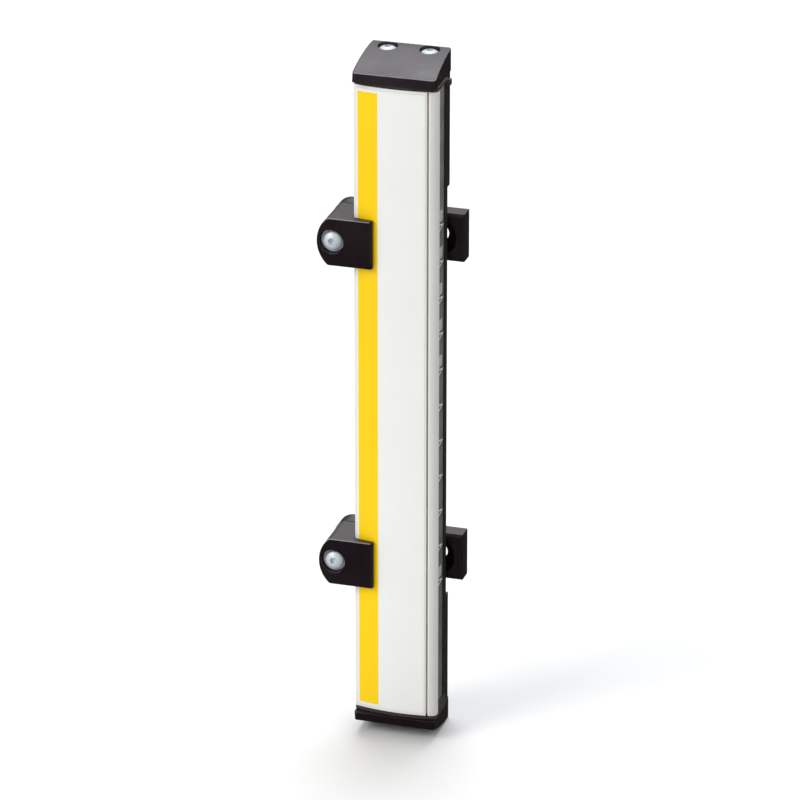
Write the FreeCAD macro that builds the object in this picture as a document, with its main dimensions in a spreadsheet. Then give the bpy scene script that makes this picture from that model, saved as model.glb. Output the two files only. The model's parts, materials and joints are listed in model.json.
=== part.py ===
import FreeCAD, Part
import math
import os
import Sketcher
from FreeCAD import Placement, Rotation, Vector

# Safety light curtain: one slim optical stick with its end brackets and side clamp brackets.
# Millimetres. +Z is up the stick, -Y is towards the viewer of the labelled face, +X is the window side.
# Y = 0 is the mounting plane (back faces of the bracket plates). Z = 0 is the stick's lower end.

doc = FreeCAD.newDocument("SafetyLightCurtain")
sheet = doc.addObject("Spreadsheet::Sheet", "Dims")

DIMENSIONS = [
    # the stick
    ("stick_w", 32.0, "stick width over its sides"),
    ("stick_t", 15.0, "stick thickness at the crown of the face"),
    ("stick_len", 252.0, "stick length over the end caps"),
    ("face_r", 72.0, "radius of the convex face"),
    ("face_cx", 1.5, "X of the crown of the face"),
    ("wall", 1.6, "channel wall thickness"),
    ("corner_r", 1.0, "radius of the channel's outer left corners"),
    ("nose_r", 2.2, "radius of the corner between face and window side"),
    ("channel_x", 12.1, "right end of the channel's front wall"),
    ("channel_back_x", 12.3, "right end of the channel's back wall"),
    ("groove_w", 0.7, "width of the dark groove beside the rim strip"),
    ("film_t", 0.15, "label film thickness"),
    ("film_x_left", -14.8, "left edge of the label film"),
    ("film_x_right", 11.5, "right edge of the label film"),
    ("film_margin", 2.8, "label film's distance from the stick's ends"),
    # end caps and gaskets
    ("flange_t", 1.2, "end cap flange thickness"),
    ("gasket_t", 0.4, "gasket thickness"),
    ("gasket_inset", 0.35, "gasket outline inside the flange outline"),
    ("plug_len", 6.4, "end cap plug length below the flange"),
    ("slot_len", 20.3, "locating slot in the end cap, length"),
    ("slot_wid", 2.5, "locating slot in the end cap, width"),
    ("slot_y", -11.15, "locating slot in the end cap, centre Y"),
    ("slot_deep", 4.0, "locating slot in the end cap, depth"),
    ("lug_h", 4.6, "lower cap's lug on the window side, height over the flange"),
    ("ear_w", 1.4, "upper cap's ear, how far it stands out"),
    ("ear_h", 2.4, "upper cap's ear, height"),
    # window side
    ("lip_y", -18.2, "front edge of the window opening"),
    ("rear_y", -11.2, "rear edge of the window opening"),
    ("rabbet", 0.8, "depth of the rabbets that hold the window"),
    ("window_x", 14.0, "inner face of the window"),
    ("window_t", 1.5, "window thickness"),
    ("seal_t", 0.4, "window seal thickness"),
    # optics and electronics
    ("beam_count", 17, "number of beams"),
    ("beam_pitch", 14.2, "beam pitch"),
    ("beam_y", -14.7, "Y of the beam axes"),
    ("barrel_r", 2.5, "optical barrel radius"),
    ("lens_r", 3.4, "lens surface radius"),
    ("lens_bulge", 1.0, "lens height over its strip"),
    ("led_r", 1.5, "emitter radius"),
    ("led_len", 2.2, "emitter length under its dome"),
    ("carrier_x", 4.4, "inner face of the optics carrier"),
    ("carrier_w", 7.6, "optics carrier width along the beam"),
    ("board_t", 1.6, "main circuit board thickness"),
    ("board_y", -11.4, "back face of the main circuit board"),
    ("board_end", 8.5, "distance of the boards from the stick's ends"),
    ("guide_r", 1.1, "status light guide radius"),
    # rear connection
    ("conn_z", 87.0, "height of the rear connector"),
    ("conn_w", 14.0, "rear connector opening width"),
    ("conn_h", 5.4, "rear connector opening height"),
    ("pin_count", 8, "contacts in the rear connector"),
    ("pin_pitch", 1.25, "contact pitch"),
    # end brackets
    ("plate_t", 7.5, "bracket plate thickness, stick back to mounting plane"),
    ("plate_w", 29.0, "end bracket plate width"),
    ("plate_h", 44.0, "end bracket plate height"),
    ("plate_edge", 0.9, "bevel on the plates' front edges"),
    ("hole_first", 16.8, "first fixing slot's distance from the stick end"),
    ("hole_pitch", 16.5, "fixing slot pitch"),
    ("hole_len", 19.6, "fixing slot length"),
    ("hole_wid", 7.4, "fixing slot width"),
    ("sink_len", 26.0, "fixing slot counterbore length"),
    ("sink_wid", 14.6, "fixing slot counterbore width"),
    ("sink_deep", 4.2, "fixing slot counterbore depth"),
    ("nut_z", 2.9, "nut pocket's middle, distance from the stick end"),
    ("head_w", 31.6, "head and foot width at the front"),
    ("head_w_back", 29.8, "head and foot width at the mounting plane"),
    ("head_d", 23.6, "head and foot depth from the mounting plane"),
    ("head_back", 8.6, "head and foot height at the back"),
    ("head_front", 3.4, "head and foot height at the front"),
    ("head_arc", 62.0, "radius of the head's curved slope"),
    ("tongue_len", 19.8, "locating tongue length"),
    ("tongue_wid", 2.2, "locating tongue width"),
    ("tongue_h", 3.2, "locating tongue height"),
    ("head_hole_x", 7.9, "head screws' distance from the middle"),
    ("head_hole_y", -4.05, "head screws' Y"),
    ("head_sink", 6.2, "counterbore floor over the stick end"),
    # side clamp brackets
    ("side_low_z", 62.0, "lower side bracket's middle"),
    ("side_high_z", 190.0, "upper side bracket's middle"),
    ("side_h", 18.5, "side bracket height"),
    ("side_left", -28.4, "side plate left end"),
    ("side_right", 22.0, "side plate right end"),
    ("side_hole_x", 5.4, "side plate fixing slot's middle"),
    ("side_sink_len", 27.6, "side plate counterbore length"),
    ("side_sink_wid", 15.0, "side plate counterbore width"),
    ("jaw_left", -29.0, "jaw's left side"),
    ("jaw_wall", -16.2, "jaw's wall beside the stick"),
    ("jaw_tip", -8.0, "tip of the jaw's lip"),
    ("jaw_front", -24.3, "jaw's front face"),
    ("jaw_bow", 4.1, "bow of the jaw's left side"),
    ("jaw_round", 1.6, "radius of the corners where the bow meets the jaw's ends"),
    ("jaw_gap", 0.3, "jaw lip's clearance over the bare face"),
    ("jaw_hole_x", -23.4, "jaw screw's X"),
    ("jaw_sink_r", 4.7, "jaw counterbore radius"),
    ("jaw_sink_deep", 3.2, "jaw counterbore depth"),
    # screws
    ("shank_r", 1.95, "screw shank radius"),
    ("clear_r", 2.25, "screw clearance hole radius"),
    ("nut_s", 6.7, "square nut width across flats"),
    ("nut_m", 2.2, "square nut thickness"),
    ("nut_play", 0.15, "play of a nut in its pocket"),
    ("end_screw_len", 12.0, "head and foot screw length"),
    ("jaw_screw_len", 19.6, "jaw screw length"),
    ("head_r", 3.5, "screw head radius"),
    ("head_h", 2.2, "screw head height"),
    ("head_sink_r", 3.75, "counterbore radius round a head screw"),
    ("dome_r", 5.2, "radius of the screw head's dome"),
    ("key_af", 2.5, "hex socket across flats"),
    ("key_deep", 1.3, "hex socket depth"),
    ("washer_r", 4.4, "washer outer radius"),
    ("washer_t", 0.8, "washer thickness"),
]


class Dim:
    """A length that carries both its present value and the expression that gives it."""

    def __init__(self, value, text):
        self.value = float(value)
        self.text = text

    def __add__(self, other):
        other = dim(other)
        return Dim(self.value + other.value, f"({self.text} + {other.text})")

    def __radd__(self, other):
        return dim(other) + self

    def __sub__(self, other):
        other = dim(other)
        return Dim(self.value - other.value, f"({self.text} - {other.text})")

    def __rsub__(self, other):
        return dim(other) - self

    def __mul__(self, other):
        other = dim(other)
        return Dim(self.value * other.value, f"({self.text} * {other.text})")

    def __rmul__(self, other):
        return dim(other) * self

    def __truediv__(self, other):
        other = dim(other)
        return Dim(self.value / other.value, f"({self.text} / {other.text})")

    def __neg__(self):
        return Dim(-self.value, f"(0 - {self.text})")


def dim(value):
    if isinstance(value, Dim):
        return value
    return Dim(value, f"{float(value)}" if value >= 0 else f"(0 - {abs(float(value))})")


def root(value):
    return Dim(math.sqrt(value.value), f"sqrt({value.text})")


D = {}
for row, (alias, value, note) in enumerate(DIMENSIONS, start=1):
    sheet.set(f"A{row}", note)
    sheet.set(f"B{row}", str(value))
    sheet.setAlias(f"B{row}", alias)
    D[alias] = Dim(value, f"Dims.{alias}")
doc.recompute()


def bind(obj, prop, value):
    obj.setExpression(prop, dim(value).text)


def place(obj, x, y, z, rotation=None):
    obj.Placement = Placement(
        Vector(dim(x).value, dim(y).value, dim(z).value), rotation or Rotation()
    )
    for axis, value in zip("xyz", (x, y, z)):
        bind(obj, f"Placement.Base.{axis}", value)


# ---------------------------------------------------------------- primitives and booleans


def box(name, x, y, z):
    """A block between two corners given per axis as (low, high)."""
    obj = doc.addObject("Part::Box", name)
    for prop, (low, high) in zip(("Length", "Width", "Height"), (x, y, z)):
        size = dim(high) - low
        setattr(obj, prop, size.value)
        bind(obj, prop, size)
    place(obj, x[0], y[0], z[0])
    return obj


TURNS = {
    "+X": Rotation(Vector(0, 1, 0), 90),
    "-X": Rotation(Vector(0, 1, 0), -90),
    "+Y": Rotation(Vector(1, 0, 0), -90),
    "-Y": Rotation(Vector(1, 0, 0), 90),
    "+Z": Rotation(),
    "-Z": Rotation(Vector(1, 0, 0), 180),
}


def rod(name, start, direction, radius, length):
    """A cylinder that starts at a point and runs along an axis direction."""
    obj = doc.addObject("Part::Cylinder", name)
    obj.Radius, obj.Height = dim(radius).value, dim(length).value
    bind(obj, "Radius", radius)
    bind(obj, "Height", length)
    place(obj, *start, TURNS[direction])
    return obj


def ball(name, centre, radius):
    obj = doc.addObject("Part::Sphere", name)
    obj.Radius = dim(radius).value
    bind(obj, "Radius", radius)
    place(obj, *centre)
    return obj


def cut(name, base, *tools):
    tool = tools[0] if len(tools) == 1 else fuse(name + "_tools", *tools)
    obj = doc.addObject("Part::Cut", name)
    obj.Base, obj.Tool = base, tool
    return obj


def fuse(name, *shapes):
    obj = doc.addObject("Part::MultiFuse", name)
    obj.Shapes = list(shapes)
    return obj


def common(name, *shapes):
    obj = doc.addObject("Part::MultiCommon", name)
    obj.Shapes = list(shapes)
    return obj


def group(name, shapes):
    obj = doc.addObject("Part::Compound", name)
    obj.Links = list(shapes)
    return obj


# ---------------------------------------------------------------- sketched bodies

PLANES = {"XY": "XY_Plane", "XZ": "XZ_Plane", "YZ": "YZ_Plane"}


def new_body(name):
    return doc.addObject("PartDesign::Body", name)


def new_sketch(body, name, plane, offset=0.0):
    """A sketch on one of the body's own origin planes, moved along the plane's normal."""
    sketch = body.newObject("Sketcher::SketchObject", name)
    role = PLANES[plane]
    datum = [f for f in body.Origin.OriginFeatures if f.Role == role][0]
    sketch.AttachmentSupport = (datum, [""])
    sketch.MapMode = "FlatFace"
    offset = dim(offset)
    sketch.AttachmentOffset = Placement(Vector(0, 0, offset.value), Rotation())
    bind(sketch, "AttachmentOffset.Base.z", offset)
    return sketch


def fix_point(sketch, geo, pos, x, y):
    for kind, value in (("DistanceX", x), ("DistanceY", y)):
        value = dim(value)
        index = sketch.addConstraint(
            Sketcher.Constraint(kind, -1, 1, geo, pos, value.value)
        )
        bind(sketch, f"Constraints[{index}]", value)


def fix_radius(sketch, geo, radius):
    radius = dim(radius)
    index = sketch.addConstraint(Sketcher.Constraint("Radius", geo, radius.value))
    bind(sketch, f"Constraints[{index}]", radius)


def outline(sketch, points, arcs=None):
    """A closed outline. arcs maps an edge's number to (radius, turn): turn +1 is anticlockwise."""
    arcs = arcs or {}
    count = len(points)
    points = [(dim(x), dim(y)) for x, y in points]
    ends = []
    for i in range(count):
        (ax, ay), (bx, by) = points[i], points[(i + 1) % count]
        a, b = Vector(ax.value, ay.value, 0), Vector(bx.value, by.value, 0)
        if i in arcs:
            radius, turn = arcs[i]
            r = dim(radius).value
            chord = b - a
            half = chord.Length / 2
            normal = Vector(-chord.y, chord.x, 0).normalize() * turn
            centre = a + chord * 0.5 + normal * math.sqrt(max(r * r - half * half, 0))
            start, end = (a, b) if turn > 0 else (b, a)
            first = math.atan2(start.y - centre.y, start.x - centre.x)
            last = math.atan2(end.y - centre.y, end.x - centre.x)
            if last < first:
                last += 2 * math.pi
            geo = sketch.addGeometry(
                Part.ArcOfCircle(Part.Circle(centre, Vector(0, 0, 1), r), first, last)
            )
            ends.append((geo, 1, 2) if turn > 0 else (geo, 2, 1))
            fix_radius(sketch, geo, radius)
        else:
            geo = sketch.addGeometry(Part.LineSegment(a, b))
            ends.append((geo, 1, 2))
    for i in range(count):
        geo, _, last = ends[i]
        following, first, _ = ends[(i + 1) % count]
        sketch.addConstraint(
            Sketcher.Constraint("Coincident", geo, last, following, first)
        )
    for (geo, first, _), (x, y) in zip(ends, points):
        fix_point(sketch, geo, first, x, y)
    return sketch


def rectangle(sketch, x, y):
    return outline(
        sketch, [(x[0], y[0]), (x[1], y[0]), (x[1], y[1]), (x[0], y[1])]
    )


def circle(sketch, x, y, radius):
    x, y, radius = dim(x), dim(y), dim(radius)
    geo = sketch.addGeometry(
        Part.Circle(Vector(x.value, y.value, 0), Vector(0, 0, 1), radius.value)
    )
    fix_point(sketch, geo, 3, x, y)
    fix_radius(sketch, geo, radius)
    return sketch


def obround(sketch, x, y, length, width):
    """A round-ended slot that runs along the sketch's first axis."""
    x, y, length, width = dim(x), dim(y), dim(length), dim(width)
    r, reach = width / 2, (length - width) / 2
    return outline(
        sketch,
        [
            (x - reach, y - r),
            (x + reach, y - r),
            (x + reach, y + r),
            (x - reach, y + r),
        ],
        {1: (r + 1e-5, 1), 3: (r + 1e-5, 1)},
    )


def pad(body, name, sketch, length, reverse=False):
    feature = body.newObject("PartDesign::Pad", name)
    feature.Profile = (sketch, [""])
    feature.Length = dim(length).value
    feature.Reversed = reverse
    bind(feature, "Length", length)
    body.Tip = feature
    doc.recompute()
    return feature


def pocket(body, name, sketch, depth, reverse=False):
    """A pocket that has to remove material, or the build stops."""
    before = body.Shape.Volume
    feature = body.newObject("PartDesign::Pocket", name)
    feature.Profile = (sketch, [""])
    feature.Length = dim(depth).value
    feature.Reversed = reverse
    bind(feature, "Length", depth)
    body.Tip = feature
    doc.recompute()
    if body.Shape.Volume > before - 1e-3:
        raise RuntimeError(f"{name} removes nothing")
    return feature


def edges_where(shape, test):
    """Names of the edges whose middle point and direction pass a test."""
    names = []
    for number, edge in enumerate(shape.Edges, start=1):
        first, last = edge.ParameterRange
        middle = edge.valueAt((first + last) / 2)
        direction = edge.tangentAt((first + last) / 2)
        if test(middle, direction, edge):
            names.append(f"Edge{number}")
    return names


def dress(body, name, kind, test, size, expect=None):
    """A fillet or chamfer on the edges of the body's tip that pass a test."""
    tip = body.Tip
    names = edges_where(tip.Shape, test)
    if not names or (expect and len(names) != expect):
        raise RuntimeError(f"{name} found {len(names)} edges")
    before = body.Shape.Volume
    feature = body.newObject(f"PartDesign::{kind}", name)
    feature.Base = (tip, names)
    prop = "Radius" if kind == "Fillet" else "Size"
    setattr(feature, prop, dim(size).value)
    bind(feature, prop, size)
    body.Tip = feature
    doc.recompute()
    if abs(body.Shape.Volume - before) < 1e-6:
        raise RuntimeError(f"{name} changes nothing")
    return feature


def near(a, b, slack=0.02):
    return abs(a - dim(b).value) < slack


# ---------------------------------------------------------------- shared reference lines

half = D["stick_w"] / 2
left, right = -half, half
back = -D["plate_t"]
crown = back - D["stick_t"]
face_cy = crown + D["face_r"]
length = D["stick_len"]
body_low = D["flange_t"] + D["gasket_t"]
body_high = length - body_low
window_low = D["flange_t"] + D["lug_h"] + 0.1


def face_y(x, radius=None):
    """Y of the convex face, or of a surface concentric with it, at a given X."""
    radius = D["face_r"] if radius is None else radius
    run = dim(x) - D["face_cx"]
    return face_cy - root(radius * radius - run * run)


def beam_z(number):
    return length / 2 + (number - (D["beam_count"] - 1) / 2) * D["beam_pitch"]


nodes = {}


def keep(name, obj):
    obj.Label = name
    nodes[name] = obj
    return obj


# ---------------------------------------------------------------- the stick's housing

inner_r = D["face_r"] - D["wall"]
wall_x = left + D["wall"]
back_in = back - D["wall"]

body = new_body("HousingBody")
sketch = new_sketch(body, "HousingSection", "XY", body_low)
outline(
    sketch,
    [
        (left, back),
        (left, face_y(left)),
        (D["channel_x"], face_y(D["channel_x"])),
        (D["channel_x"], face_y(D["channel_x"], inner_r)),
        (wall_x, face_y(wall_x, inner_r)),
        (wall_x, back_in),
        (D["channel_back_x"], back_in),
        (D["channel_back_x"], back),
    ],
    {1: (D["face_r"], 1), 3: (inner_r, -1)},
)
pad(body, "HousingPad", sketch, body_high - body_low)
upright = lambda d: abs(d.z) > 0.999
dress(
    body,
    "HousingCorners",
    "Fillet",
    lambda p, d, e: upright(d) and near(p.x, left) and p.y < -7,
    D["corner_r"],
    2,
)
sketch = new_sketch(body, "ConnectorOpening", "XZ", D["plate_t"] - 1)
rectangle(
    sketch,
    (-D["conn_w"] / 2, D["conn_w"] / 2),
    (D["conn_z"] - D["conn_h"] / 2, D["conn_z"] + D["conn_h"] / 2),
)
# the opening is cut from behind, through the back wall only
before = body.Shape.Volume
opening = body.newObject("PartDesign::Pocket", "ConnectorCut")
opening.Profile = (sketch, [""])
opening.Length = 4.0
opening.Reversed = True
bind(opening, "Length", D["wall"] + 2.4)
body.Tip = opening
doc.recompute()
if body.Shape.Volume > before - 1:
    raise RuntimeError("the connector opening removes nothing")
keep("housing_profile", body)

# ---------------------------------------------------------------- window side

rim_x = D["channel_x"] + D["groove_w"]
rabbet_in = D["window_x"] - D["seal_t"]
rabbet_out = D["window_x"] + D["window_t"] + 0.1

body = new_body("FrameBody")
sketch = new_sketch(body, "FrameSection", "XY", body_low)
outline(
    sketch,
    [
        (rim_x, face_y(rim_x)),
        (right, face_y(right)),
        (right, D["lip_y"]),
        (rabbet_out, D["lip_y"]),
        (rabbet_out, D["lip_y"] - D["rabbet"]),
        (rabbet_in, D["lip_y"] - D["rabbet"]),
        (rabbet_in, D["lip_y"]),
        (rim_x, D["lip_y"]),
        (rim_x, D["lip_y"] - D["rabbet"]),
        (D["channel_x"] - 1.7, D["lip_y"] - D["rabbet"]),
        (D["channel_x"] - 1.7, D["lip_y"] - D["rabbet"] - 0.9),
        (rim_x, D["lip_y"] - D["rabbet"] - 0.9),
    ],
    {0: (D["face_r"], 1)},
)
pad(body, "FramePad", sketch, body_high - body_low)
dress(
    body,
    "FrameNose",
    "Fillet",
    lambda p, d, e: upright(d) and near(p.x, right) and p.y < -20,
    D["nose_r"],
    1,
)
dress(
    body,
    "FrameRimEdge",
    "Fillet",
    lambda p, d, e: upright(d) and near(p.x, rim_x) and p.y < -20.5,
    0.3,
    1,
)
keep("window_frame", body)

body = new_body("RetainerBody")
sketch = new_sketch(body, "RetainerSection", "XY", window_low)
outline(
    sketch,
    [
        (D["channel_back_x"] + 0.1, back),
        (D["channel_back_x"] + 0.1, back - 1.7),
        (D["channel_x"] - 1.7, back - 1.7),
        (D["channel_x"] - 1.7, back - 2.8),
        (D["channel_back_x"] + 0.1, back - 2.8),
        (D["channel_back_x"] + 0.1, D["rear_y"]),
        (rabbet_in, D["rear_y"]),
        (rabbet_in, D["rear_y"] + D["rabbet"]),
        (rabbet_out, D["rear_y"] + D["rabbet"]),
        (rabbet_out, D["rear_y"]),
        (right, D["rear_y"]),
        (right, back),
    ],
)
pad(body, "RetainerPad", sketch, body_high - window_low)
dress(
    body,
    "RetainerCorner",
    "Fillet",
    lambda p, d, e: upright(d) and near(p.x, right) and near(p.y, back),
    0.9,
    1,
)
keep("window_retainer", body)

pane = box(
    "Pane",
    (D["window_x"], D["window_x"] + D["window_t"]),
    (D["lip_y"] - D["rabbet"] + 0.05, D["rear_y"] + D["rabbet"] - 0.05),
    (window_low, body_high),
)
keep("window", pane)

seal_y = (D["lip_y"] - D["rabbet"] + 0.05, D["rear_y"] + D["rabbet"] - 0.05)
seal = cut(
    "Seal",
    box("SealSheet", (rabbet_in, D["window_x"]), seal_y, (window_low, body_high)),
    box(
        "SealHole",
        (rabbet_in - 1, D["window_x"] + 1),
        (seal_y[0] + 1.1, seal_y[1] - 1.1),
        (window_low + 2.1, body_high - 2.1),
    ),
)
keep("window_seal", seal)

# ---------------------------------------------------------------- label film on the face

film_r = D["face_r"] + D["film_t"]
body = new_body("FilmBody")
sketch = new_sketch(body, "FilmSection", "XY", D["film_margin"])
outline(
    sketch,
    [
        (D["film_x_left"], face_y(D["film_x_left"], film_r)),
        (D["film_x_right"], face_y(D["film_x_right"], film_r)),
        (D["film_x_right"], face_y(D["film_x_right"])),
        (D["film_x_left"], face_y(D["film_x_left"])),
    ],
    {0: (film_r, 1), 2: (D["face_r"], -1)},
)
pad(body, "FilmPad", sketch, length - 2 * D["film_margin"])
keep("face_label_film", body)

# ---------------------------------------------------------------- end caps and gaskets


def stick_slab(body, name, inset, z, thickness):
    """A slab with the stick's whole outline, rounded at its corners."""
    sketch = new_sketch(body, name + "Outline", "XY", z)
    radius = D["face_r"] - inset
    outline(
        sketch,
        [
            (left + inset, back - inset),
            (left + inset, face_y(left + inset, radius)),
            (right - inset, face_y(right - inset, radius)),
            (right - inset, back - inset),
        ],
        {1: (radius, 1)},
    )
    pad(body, name + "Pad", sketch, thickness)
    dress(
        body,
        name + "LeftCorners",
        "Fillet",
        lambda p, d, e: upright(d) and near(p.x, left + inset),
        D["corner_r"],
        2,
    )
    dress(
        body,
        name + "Nose",
        "Fillet",
        lambda p, d, e: upright(d) and near(p.x, right - inset) and p.y < -18,
        D["nose_r"],
        1,
    )
    dress(
        body,
        name + "BackCorner",
        "Fillet",
        lambda p, d, e: upright(d) and near(p.x, right - inset) and p.y > -9,
        0.9,
        1,
    )


plug_x = (wall_x + 0.2, D["channel_x"] - 1.9)
plug_r = inner_r - 0.2


def plug_points(grow=0.0):
    """The plug's section, which fills the channel."""
    low, high = plug_x[0] - grow, plug_x[1] + grow
    radius = plug_r + grow
    return (
        [
            (low, back_in - 0.1 + grow),
            (low, face_y(low, radius)),
            (high, face_y(high, radius)),
            (high, back_in - 0.1 + grow),
        ],
        {1: (radius, 1)},
    )


for tag, name in (("Upper", "top_end_cap"), ("Lower", "bottom_end_cap")):
    upper = tag == "Upper"
    body = new_body(tag + "CapBody")
    flange_z = length - D["flange_t"] if upper else dim(0)
    stick_slab(body, tag + "Flange", dim(0), flange_z, D["flange_t"])
    # the outer rim of the flange is softened
    rim_z = length if upper else dim(0)
    dress(
        body,
        tag + "FlangeRim",
        "Fillet",
        lambda p, d, e: near(p.z, rim_z, 1e-4),
        0.35,
    )
    if upper:
        sketch = new_sketch(body, tag + "PlugSection", "XY", length - D["flange_t"] - D["plug_len"])
        outline(sketch, *plug_points())
        pad(body, tag + "Plug", sketch, D["plug_len"] + 0.2)
        sketch = new_sketch(body, tag + "EarFoot", "XY", length - D["flange_t"])
        rectangle(sketch, (right - 1.5, right + D["ear_w"]), (back - 2.4, back - 0.5))
        pad(body, tag + "EarTop", sketch, D["flange_t"] - 0.3)
        sketch = new_sketch(body, tag + "EarSection", "XY", length - D["ear_h"])
        rectangle(sketch, (right + 0.05, right + D["ear_w"]), (back - 2.4, back - 0.5))
        pad(body, tag + "Ear", sketch, D["ear_h"] - 0.3)
        sketch = new_sketch(body, tag + "SlotOutline", "XY", length + 1)
        depth, reverse = D["slot_deep"] + 1, False
    else:
        sketch = new_sketch(body, tag + "PlugSection", "XY", D["flange_t"] - 0.2)
        outline(sketch, *plug_points())
        pad(body, tag + "Plug", sketch, D["plug_len"] + 0.2)
        sketch = new_sketch(body, tag + "LugSection", "XY", D["flange_t"] - 0.2)
        rectangle(sketch, (D["channel_back_x"] + 0.2, right), (D["lip_y"] + 0.1, back - 1.0))
        pad(body, tag + "Lug", sketch, D["lug_h"] + 0.2)
        sketch = new_sketch(body, tag + "SlotOutline", "XY", -1)
        depth, reverse = D["slot_deep"] + 1, True
    rectangle(
        sketch,
        (-D["slot_len"] / 2, D["slot_len"] / 2),
        (D["slot_y"] - D["slot_wid"] / 2, D["slot_y"] + D["slot_wid"] / 2),
    )
    pocket(body, tag + "Slot", sketch, depth, reverse)
    keep(name, body)

    body = new_body(tag + "GasketBody")
    gasket_z = length - body_low if upper else D["flange_t"]
    stick_slab(body, tag + "Gasket", D["gasket_inset"], gasket_z, D["gasket_t"])
    sketch = new_sketch(body, tag + "GasketOpening", "XY", gasket_z + D["gasket_t"] + 1)
    outline(sketch, *plug_points(0.05))
    pocket(body, tag + "GasketHole", sketch, D["gasket_t"] + 2)
    if not upper:
        sketch = new_sketch(body, tag + "GasketLug", "XY", gasket_z + D["gasket_t"] + 1)
        rectangle(
            sketch,
            (D["channel_back_x"] + 0.15, right + 1),
            (D["lip_y"] + 0.05, back - 0.95),
        )
        pocket(body, tag + "GasketNotch", sketch, D["gasket_t"] + 2)
    keep("top_cap_gasket" if upper else "bottom_cap_gasket", body)

# ---------------------------------------------------------------- electronics

board_z = (D["board_end"], length - D["board_end"])
board_front = D["board_y"] - D["board_t"]
strip_x = D["carrier_x"] - 0.2
low_y, high_y = D["beam_y"] - 3.7, D["beam_y"] + 3.3
keep(
    "main_circuit_board",
    box("MainBoard", (left + 2.4, 2.6), (board_front, D["board_y"]), board_z),
)
keep(
    "emitter_board",
    box("EmitterBoard", (strip_x - 1.2, strip_x), (low_y - 0.5, high_y - 0.1), board_z),
)

chips = []
for number, (x, z, w, h) in enumerate(
    ((-8.6, 150.0, 9.0, 9.0), (-9.0, 108.0, 7.0, 7.0), (-8.5, 206.0, 6.0, 5.0)),
    start=1,
):
    chips.append(
        box(
            f"Chip{'ABC'[number - 1]}",
            (x - w / 2, x + w / 2),
            (board_front - 0.9, board_front),
            (z - h / 2, z + h / 2),
        )
    )
keep("control_chips", group("Chips", chips))

cans = []
for number, (x, z) in enumerate(((-9.0, 76.0), (-9.0, 83.0), (-3.0, 76.0), (-3.0, 83.0))):
    cans.append(rod(f"Can{'ABCD'[number]}", (x, board_front, z), "-Y", 2.0, 4.2))
keep("capacitors", group("Cans", cans))

keep(
    "board_link_header",
    box("LinkHeader", (-0.6, strip_x - 1.2), (board_front - 3.6, board_front), (118.0, 134.0)),
)

clips = []
for number, z in enumerate((30.0, 126.0, 222.0)):
    tag = "ABC"[number]
    clips.append(
        cut(
            f"Clip{tag}",
            box(
                f"ClipBlock{tag}",
                (wall_x + 0.1, wall_x + 2.4),
                (board_front - 1.2, back_in - 0.1),
                (z - 4.0, z + 4.0),
            ),
            box(
                f"ClipSlot{tag}",
                (left + 2.35, wall_x + 4.0),
                (board_front - 0.05, D["board_y"] + 0.05),
                (z - 5.0, z + 5.0),
            ),
        )
    )
keep("board_clips", group("Clips", clips))

# ---------------------------------------------------------------- optics

count = int(D["beam_count"].value)
carrier_x = (D["carrier_x"], D["carrier_x"] + D["carrier_w"])
guide_z = (beam_z(count - 2) + 5.4, beam_z(count - 2) + 8.8)

bores = [
    rod(
        f"Barrel{number}",
        (carrier_x[0] - 1, D["beam_y"], beam_z(number)),
        "+X",
        D["barrel_r"],
        D["carrier_w"] + 2,
    )
    for number in range(count)
]
bores += [
    rod(
        f"GuideBore{number}",
        (carrier_x[0] - 1, D["beam_y"], z),
        "+X",
        D["guide_r"] + 0.05,
        D["carrier_w"] + 2,
    )
    for number, z in enumerate(guide_z)
]
keep(
    "optics_carrier",
    cut(
        "Carrier",
        box("CarrierBar", carrier_x, (low_y, high_y), (board_z[0] + 0.5, board_z[1] - 0.5)),
        *bores,
    ),
)

strip_low = carrier_x[1] + 0.1
strip_high = strip_low + 0.9
lenses = []
for number in range(count):
    z = beam_z(number)
    lenses.append(
        common(
            f"Lens{number}",
            ball(
                f"LensBall{number}",
                (strip_low - D["lens_bulge"] + D["lens_r"], D["beam_y"], z),
                D["lens_r"],
            ),
            rod(
                f"LensRod{number}",
                (strip_low - 2.0, D["beam_y"], z),
                "+X",
                D["barrel_r"] - 0.1,
                2.2,
            ),
        )
    )
strip = fuse(
    "LensBlank",
    box(
        "LensStrip",
        (strip_low, strip_high),
        (low_y + 0.3, high_y),
        (board_z[0] + 0.5, board_z[1] - 0.5),
    ),
    *lenses,
)
keep(
    "lens_strip",
    cut(
        "Lenses",
        strip,
        *[
            rod(
                f"LensGuideBore{number}",
                (strip_low - 1, D["beam_y"], z),
                "+X",
                D["guide_r"] + 0.05,
                3.0,
            )
            for number, z in enumerate(guide_z)
        ],
    ),
)

keep(
    "status_light_guides",
    group(
        "Guides",
        [
            rod(
                f"Guide{number}",
                (strip_x + 1.1, D["beam_y"], z),
                "+X",
                D["guide_r"],
                strip_high - strip_x - 1.0,
            )
            for number, z in enumerate(guide_z)
        ],
    ),
)
keep(
    "status_leds",
    group(
        "StatusLeds",
        [
            box(
                f"StatusLed{number}",
                (strip_x, strip_x + 0.9),
                (D["beam_y"] - 0.5, D["beam_y"] + 0.5),
                (z - 0.4, z + 0.4),
            )
            for number, z in enumerate(guide_z)
        ],
    ),
)

emitters = []
for number in range(count):
    z = beam_z(number)
    emitters.append(
        fuse(
            f"Emitter{number}",
            rod(
                f"EmitterCan{number}",
                (strip_x, D["beam_y"], z),
                "+X",
                D["led_r"],
                D["led_len"],
            ),
            ball(
                f"EmitterDome{number}",
                (strip_x + D["led_len"], D["beam_y"], z),
                D["led_r"],
            ),
        )
    )
keep("infrared_emitters", group("Emitters", emitters))

# ---------------------------------------------------------------- rear connector

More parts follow.
